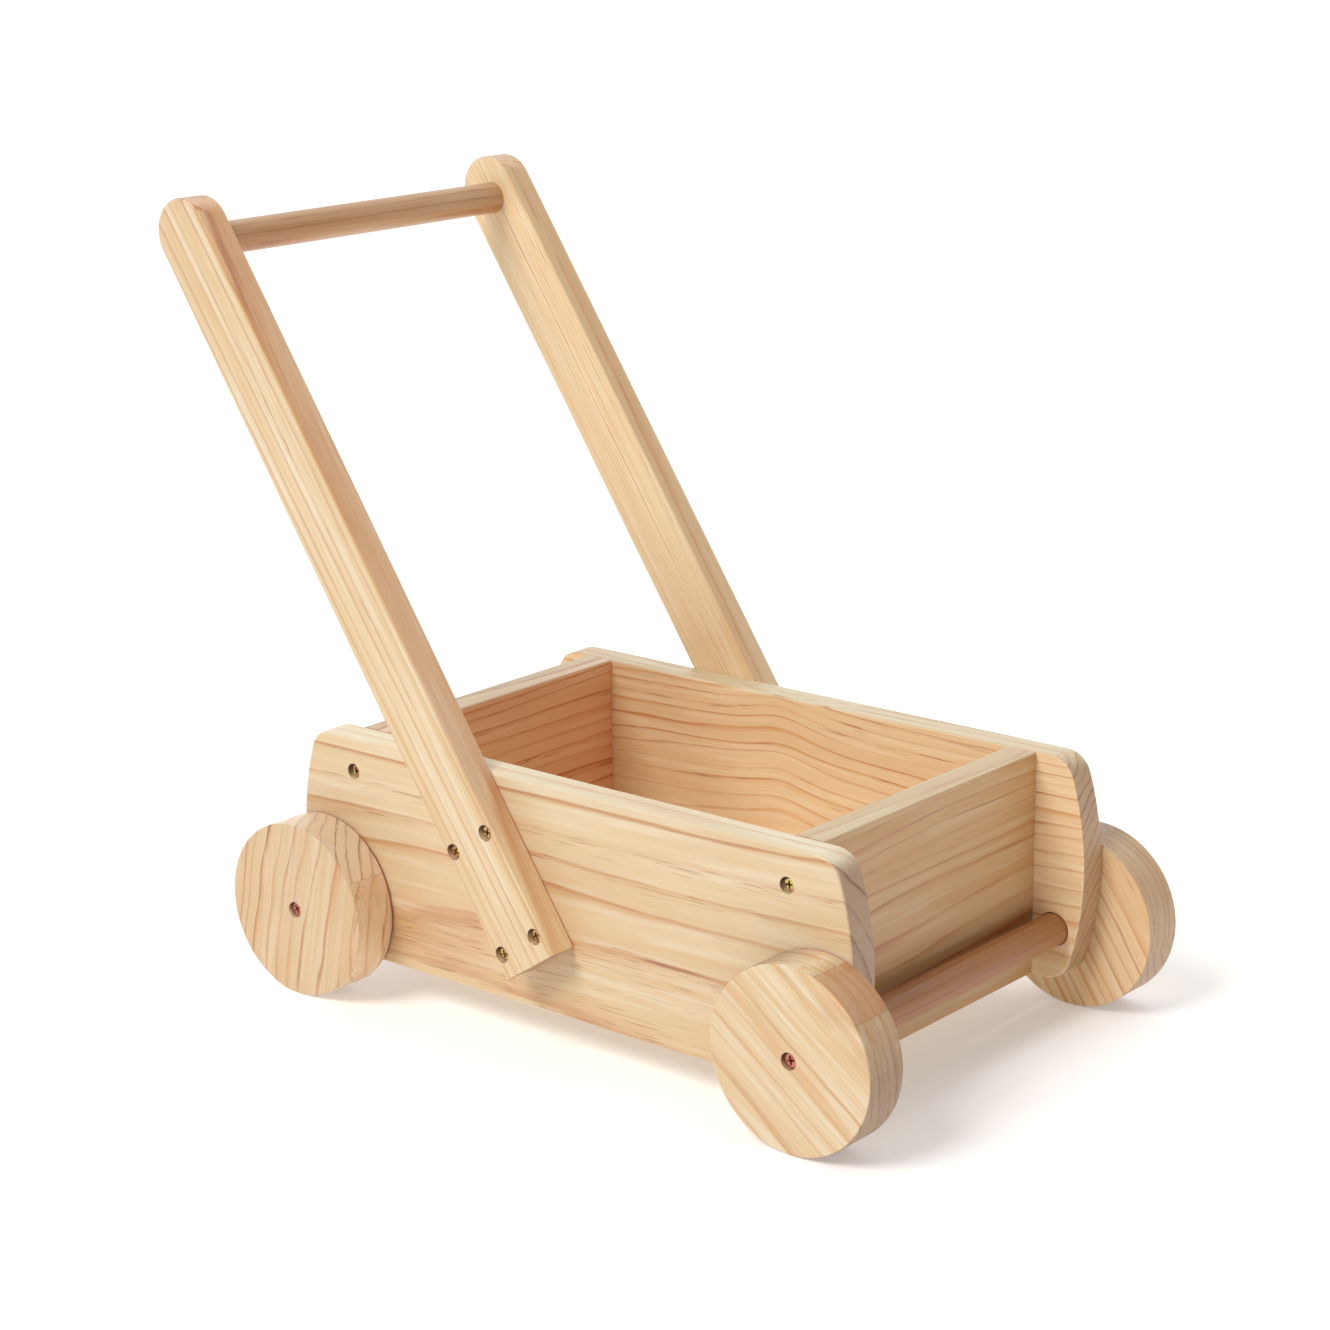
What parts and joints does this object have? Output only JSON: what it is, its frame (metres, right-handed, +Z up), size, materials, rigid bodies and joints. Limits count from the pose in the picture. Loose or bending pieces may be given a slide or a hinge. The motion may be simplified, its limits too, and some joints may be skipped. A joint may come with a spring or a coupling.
{
  "type": "push along truck",
  "caption": "Wooden push along truck for a toddler: an open pine box on turning axles with round wheels and a tall leaning handle to hold while walking.",
  "frame": {"origin": "on the ground under the middle of the truck's outer box", "axes": "+X to the front, away from the handle; +Y to the truck's left; +Z up"},
  "size_m": [0.4842, 0.2766, 0.4307],
  "materials": {
    "pine_panel": "satin clear-finished pine boards, grain along each panel",
    "pine_handle": "satin clear-finished pale pine, straight grain along the arm",
    "pine_wheel": "satin clear-finished pine, grain across the wheel's face and end grain on its tread",
    "pine_dowel": "smooth turned pine dowel, browner than the boards",
    "plywood_floor": "thin pale plywood sheet",
    "yellow_screw": "yellow zinc plated steel, cross recess",
    "wheel_screw": "pinkish bronze plated steel, cross recess"
  },
  "bodies": {
    "truck": {"right_side_panel": "pine_panel", "left_side_panel": "pine_panel", "front_panel": "pine_panel", "rear_panel": "pine_panel", "floor_panel": "plywood_floor", "right_handle_arm": "pine_handle", "left_handle_arm": "pine_handle", "handle_bar": "pine_dowel", "right_arm_screws": "yellow_screw", "left_arm_screws": "yellow_screw", "front_right_corner_screws": "yellow_screw", "front_left_corner_screws": "yellow_screw", "rear_right_corner_screws": "yellow_screw", "rear_left_corner_screws": "yellow_screw"},
    "front_wheels": {"front_axle": "pine_dowel", "front_right_wheel": "pine_wheel", "front_left_wheel": "pine_wheel", "front_right_wheel_screw": "wheel_screw", "front_left_wheel_screw": "wheel_screw"},
    "rear_wheels": {"rear_axle": "pine_dowel", "rear_right_wheel": "pine_wheel", "rear_left_wheel": "pine_wheel", "rear_right_wheel_screw": "wheel_screw", "rear_left_wheel_screw": "wheel_screw"}
  },
  "joints": [
    {"name": "front_axle_spin", "type": "hinge", "parent": "truck", "child": "front_wheels", "pos_m": [0.19333, 0, 0.04875], "axis": [0, 1, 0], "continuous": true},
    {"name": "rear_axle_spin", "type": "hinge", "parent": "truck", "child": "rear_wheels", "pos_m": [-0.14767, 0, 0.04875], "axis": [0, 1, 0], "continuous": true}
  ]
}
